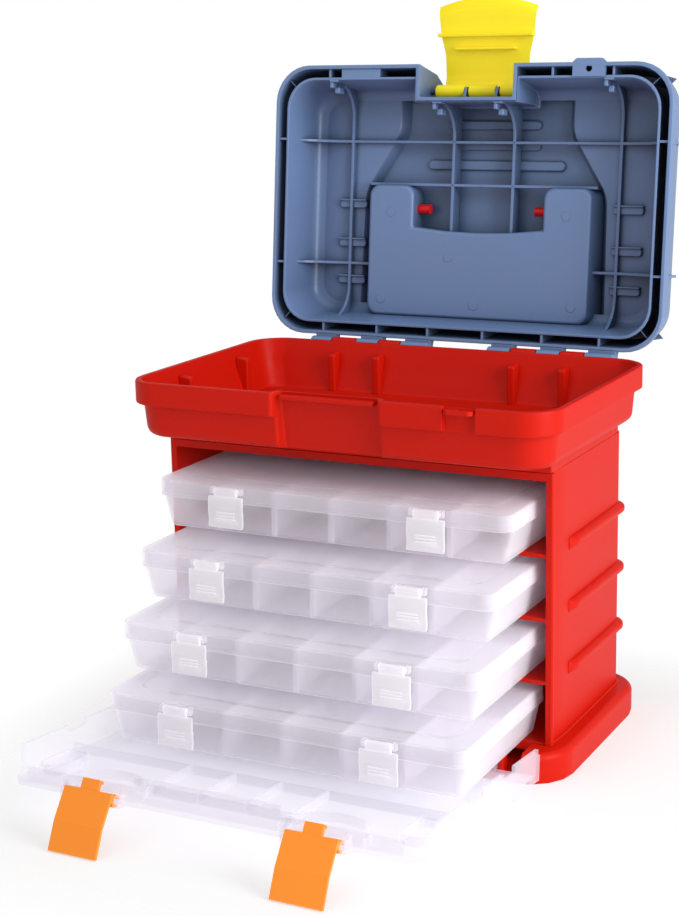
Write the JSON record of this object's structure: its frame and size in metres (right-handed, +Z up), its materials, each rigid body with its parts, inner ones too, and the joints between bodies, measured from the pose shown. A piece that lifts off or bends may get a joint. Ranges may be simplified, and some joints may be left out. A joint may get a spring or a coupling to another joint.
{
  "type": "small parts tool box",
  "caption": "Portable tool box with an open top bin, hinged lid with a carry handle, pull-out clear parts cases and a drop-down clear front cover.",
  "frame": {"origin": "middle of the base's underside", "axes": "+X to the right seen from the front, front faces -Y, +Z up"},
  "size_m": [0.283, 0.4325, 0.4531],
  "materials": {
    "red_plastic": "moulded, fine grain",
    "handle_red": "moulded, satin",
    "slate_plastic": "moulded, satin",
    "slate_pin": "moulded, satin",
    "yellow_plastic": "moulded, gloss",
    "orange_plastic": "moulded, gloss",
    "case_clear": "clear, slightly milky",
    "divider_clear": "clear, slightly milky",
    "clip_clear": "milky white",
    "cover_clear": "clear, slightly milky",
    "pin_steel": "plain wire"
  },
  "bodies": {
    "cabinet": {"base_plinth": "red_plastic", "cabinet_shell": "red_plastic", "top_bin": "red_plastic", "lid_hinge_pin_left": "pin_steel", "lid_hinge_pin_right": "pin_steel"},
    "lid": {"lid_shell": "slate_plastic", "lid_latch_pin": "slate_pin"},
    "carry_handle": {"carry_handle": "handle_red"},
    "lid_latch": {"lid_latch": "yellow_plastic"},
    "front_cover": {"front_cover": "cover_clear"},
    "cover_latch_left": {"cover_latch_left": "orange_plastic"},
    "cover_latch_right": {"cover_latch_right": "orange_plastic"},
    "case_1": {"case_1_tray": "case_clear", "case_1_dividers": "divider_clear"},
    "case_1_lid": {"case_1_lid": "case_clear"},
    "case_1_clip_left": {"case_1_clip_left": "clip_clear"},
    "case_1_clip_right": {"case_1_clip_right": "clip_clear"},
    "case_2": {"case_2_tray": "case_clear", "case_2_dividers": "divider_clear"},
    "case_2_lid": {"case_2_lid": "case_clear"},
    "case_2_clip_left": {"case_2_clip_left": "clip_clear"},
    "case_2_clip_right": {"case_2_clip_right": "clip_clear"},
    "case_3": {"case_3_tray": "case_clear", "case_3_dividers": "divider_clear"},
    "case_3_lid": {"case_3_lid": "case_clear"},
    "case_3_clip_left": {"case_3_clip_left": "clip_clear"},
    "case_3_clip_right": {"case_3_clip_right": "clip_clear"},
    "case_4": {"case_4_tray": "case_clear", "case_4_dividers": "divider_clear"},
    "case_4_lid": {"case_4_lid": "case_clear"},
    "case_4_clip_left": {"case_4_clip_left": "clip_clear"},
    "case_4_clip_right": {"case_4_clip_right": "clip_clear"}
  },
  "joints": [
    {"name": "lid_hinge", "type": "hinge", "parent": "cabinet", "child": "lid", "pos_m": [0, 0.091, 0.2225], "axis": [1, 0, 0], "range_deg": [0, 96.4]},
    {"name": "carry_handle_hinge", "type": "hinge", "parent": "lid", "child": "carry_handle", "pos_m": [0, 0.14316, 0.31074], "axis": [1, 0, 0], "range_deg": [0, 92]},
    {"name": "lid_latch_hinge", "type": "hinge", "parent": "lid", "child": "lid_latch", "pos_m": [0, 0.13601, 0.39053], "axis": [1, 0, 0], "range_deg": [0, 83.6]},
    {"name": "front_cover_hinge", "type": "hinge", "parent": "cabinet", "child": "front_cover", "pos_m": [0, -0.077, 0.0135], "axis": [-1, 0, 0], "range_deg": [-5, 0.8]},
    {"name": "cover_latch_left_hinge", "type": "hinge", "parent": "front_cover", "child": "cover_latch_left", "pos_m": [-0.069, -0.24775, 0.02643], "axis": [1, 0, 0], "range_deg": [0, 108]},
    {"name": "cover_latch_right_hinge", "type": "hinge", "parent": "front_cover", "child": "cover_latch_right", "pos_m": [0.069, -0.24775, 0.02643], "axis": [1, 0, 0], "range_deg": [0, 108]},
    {"name": "case_1_slide", "type": "slide", "parent": "cabinet", "child": "case_1", "axis": [0, -1, 0], "range_m": [-0.0285, 0.0755]},
    {"name": "case_1_lid_hinge", "type": "hinge", "parent": "case_1", "child": "case_1_lid", "pos_m": [0, 0.0298, 0.1532], "axis": [-1, 0, 0], "range_deg": [0, 2]},
    {"name": "case_1_clip_left_hinge", "type": "hinge", "parent": "case_1_lid", "child": "case_1_clip_left", "pos_m": [-0.066, -0.0991, 0.1641], "axis": [-1, 0, 0], "range_deg": [0, 85]},
    {"name": "case_1_clip_right_hinge", "type": "hinge", "parent": "case_1_lid", "child": "case_1_clip_right", "pos_m": [0.066, -0.0991, 0.1641], "axis": [-1, 0, 0], "range_deg": [0, 85]},
    {"name": "case_2_slide", "type": "slide", "parent": "cabinet", "child": "case_2", "axis": [0, -1, 0], "range_m": [-0.0536, 0.0504]},
    {"name": "case_2_lid_hinge", "type": "hinge", "parent": "case_2", "child": "case_2_lid", "pos_m": [0, 0.0047, 0.1145], "axis": [-1, 0, 0], "range_deg": [0, 2]},
    {"name": "case_2_clip_left_hinge", "type": "hinge", "parent": "case_2_lid", "child": "case_2_clip_left", "pos_m": [-0.066, -0.1242, 0.1254], "axis": [-1, 0, 0], "range_deg": [0, 85]},
    {"name": "case_2_clip_right_hinge", "type": "hinge", "parent": "case_2_lid", "child": "case_2_clip_right", "pos_m": [0.066, -0.1242, 0.1254], "axis": [-1, 0, 0], "range_deg": [0, 85]},
    {"name": "case_3_slide", "type": "slide", "parent": "cabinet", "child": "case_3", "axis": [0, -1, 0], "range_m": [-0.0763, 0.0277]},
    {"name": "case_3_lid_hinge", "type": "hinge", "parent": "case_3", "child": "case_3_lid", "pos_m": [0, -0.018, 0.0758], "axis": [-1, 0, 0], "range_deg": [0, 2]},
    {"name": "case_3_clip_left_hinge", "type": "hinge", "parent": "case_3_lid", "child": "case_3_clip_left", "pos_m": [-0.066, -0.1469, 0.0867], "axis": [-1, 0, 0], "range_deg": [0, 85]},
    {"name": "case_3_clip_right_hinge", "type": "hinge", "parent": "case_3_lid", "child": "case_3_clip_right", "pos_m": [0.066, -0.1469, 0.0867], "axis": [-1, 0, 0], "range_deg": [0, 85]},
    {"name": "case_4_slide", "type": "slide", "parent": "cabinet", "child": "case_4", "axis": [0, -1, 0], "range_m": [-0.0945, 0.0095]},
    {"name": "case_4_lid_hinge", "type": "hinge", "parent": "case_4", "child": "case_4_lid", "pos_m": [0, -0.0362, 0.0371], "axis": [-1, 0, 0], "range_deg": [0, 2]},
    {"name": "case_4_clip_left_hinge", "type": "hinge", "parent": "case_4_lid", "child": "case_4_clip_left", "pos_m": [-0.066, -0.1651, 0.048], "axis": [-1, 0, 0], "range_deg": [0, 85]},
    {"name": "case_4_clip_right_hinge", "type": "hinge", "parent": "case_4_lid", "child": "case_4_clip_right", "pos_m": [0.066, -0.1651, 0.048], "axis": [-1, 0, 0], "range_deg": [0, 85]}
  ]
}
